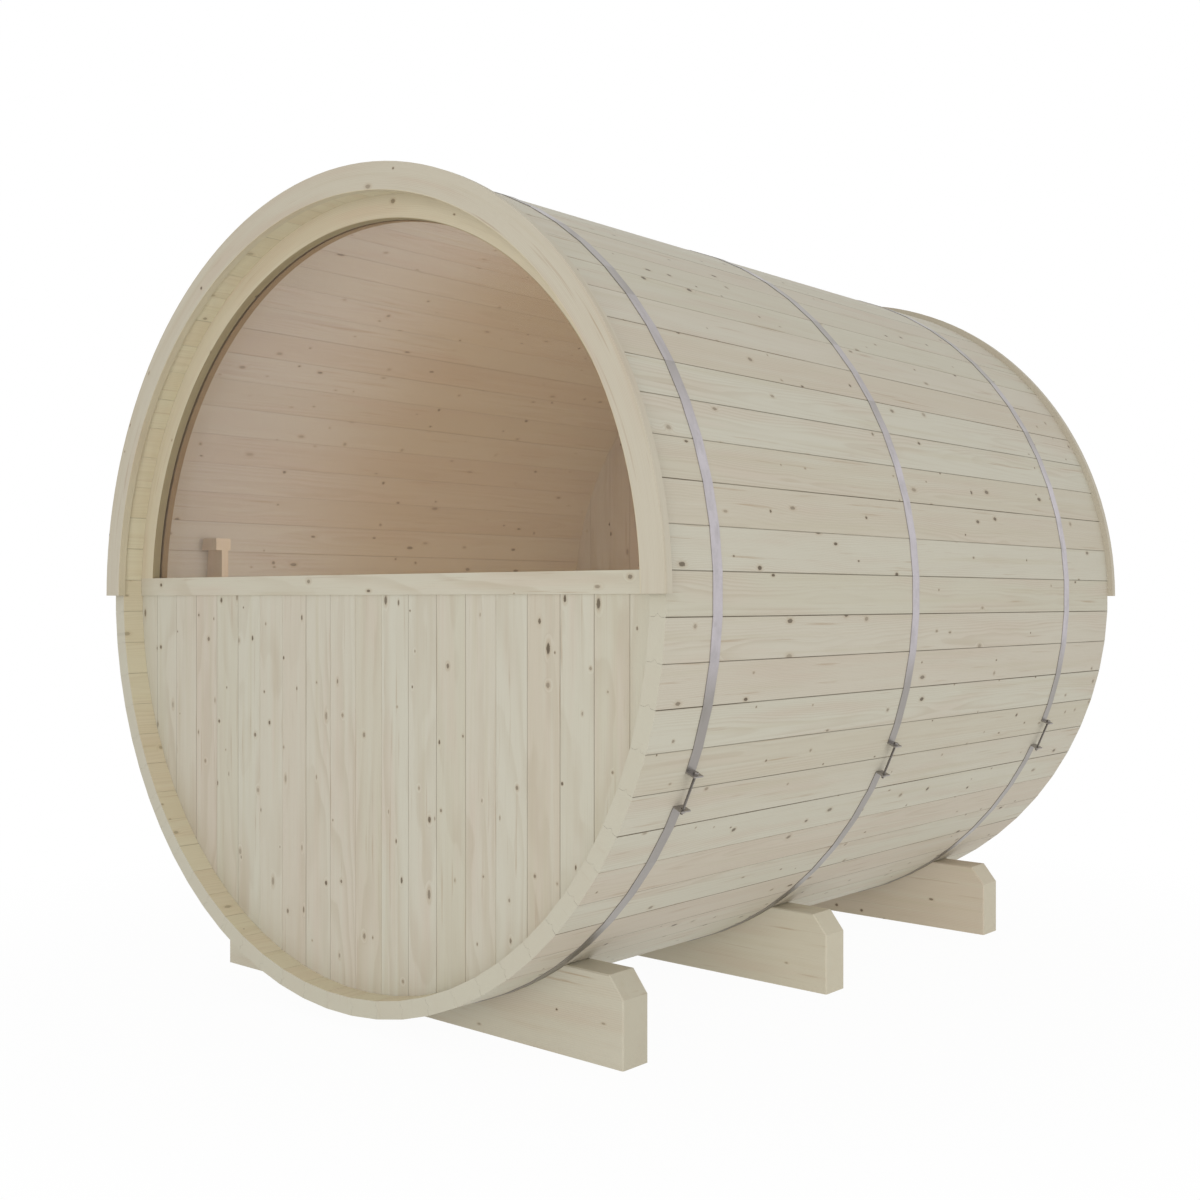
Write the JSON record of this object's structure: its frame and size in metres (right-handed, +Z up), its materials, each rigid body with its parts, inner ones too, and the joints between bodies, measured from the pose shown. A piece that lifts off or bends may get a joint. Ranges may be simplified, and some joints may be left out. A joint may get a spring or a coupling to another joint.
{
  "type": "barrel sauna",
  "caption": "Lying barrel of softwood staves on cradles, held by steel hoops, with a half-round tinted window in one end and a board door in the other.",
  "frame": {"origin": "on the ground under the middle of the barrel", "axes": "+Z up, +Y along the barrel's axis from the window end to the door end, +X to the right as seen from the window end"},
  "size_m": [2.03, 2.215, 2.0488],
  "materials": {
    "pale_spruce": "planed, untreated",
    "galvanised_steel": "galvanised",
    "bronze_glass": "bronze tint"
  },
  "bodies": {
    "root": {"right_staves": "pale_spruce", "upper_right_staves": "pale_spruce", "top_staves": "pale_spruce", "upper_left_staves": "pale_spruce", "left_staves": "pale_spruce", "lower_left_staves": "pale_spruce", "bottom_staves": "pale_spruce", "lower_right_staves": "pale_spruce", "front_cradle": "pale_spruce", "middle_cradle": "pale_spruce", "rear_cradle": "pale_spruce", "front_arch_trim": "pale_spruce", "rear_arch_trim": "pale_spruce", "front_boards": "pale_spruce", "window_sill": "pale_spruce", "window_arch": "pale_spruce", "rear_left_boards": "pale_spruce", "rear_right_boards": "pale_spruce", "rear_upper_boards": "pale_spruce", "rear_lower_boards": "pale_spruce", "door_left_post": "pale_spruce", "door_right_post": "pale_spruce", "door_head": "pale_spruce", "door_threshold": "pale_spruce", "door_boards": "pale_spruce", "door_ledges": "pale_spruce", "door_handle": "pale_spruce", "wall_bracket": "pale_spruce", "front_hoop": "galvanised_steel", "middle_hoop": "galvanised_steel", "rear_hoop": "galvanised_steel", "front_hoop_bolt": "galvanised_steel", "middle_hoop_bolt": "galvanised_steel", "rear_hoop_bolt": "galvanised_steel", "door_hinges": "galvanised_steel", "window_glass": "bronze_glass"}
  },
  "joints": []
}
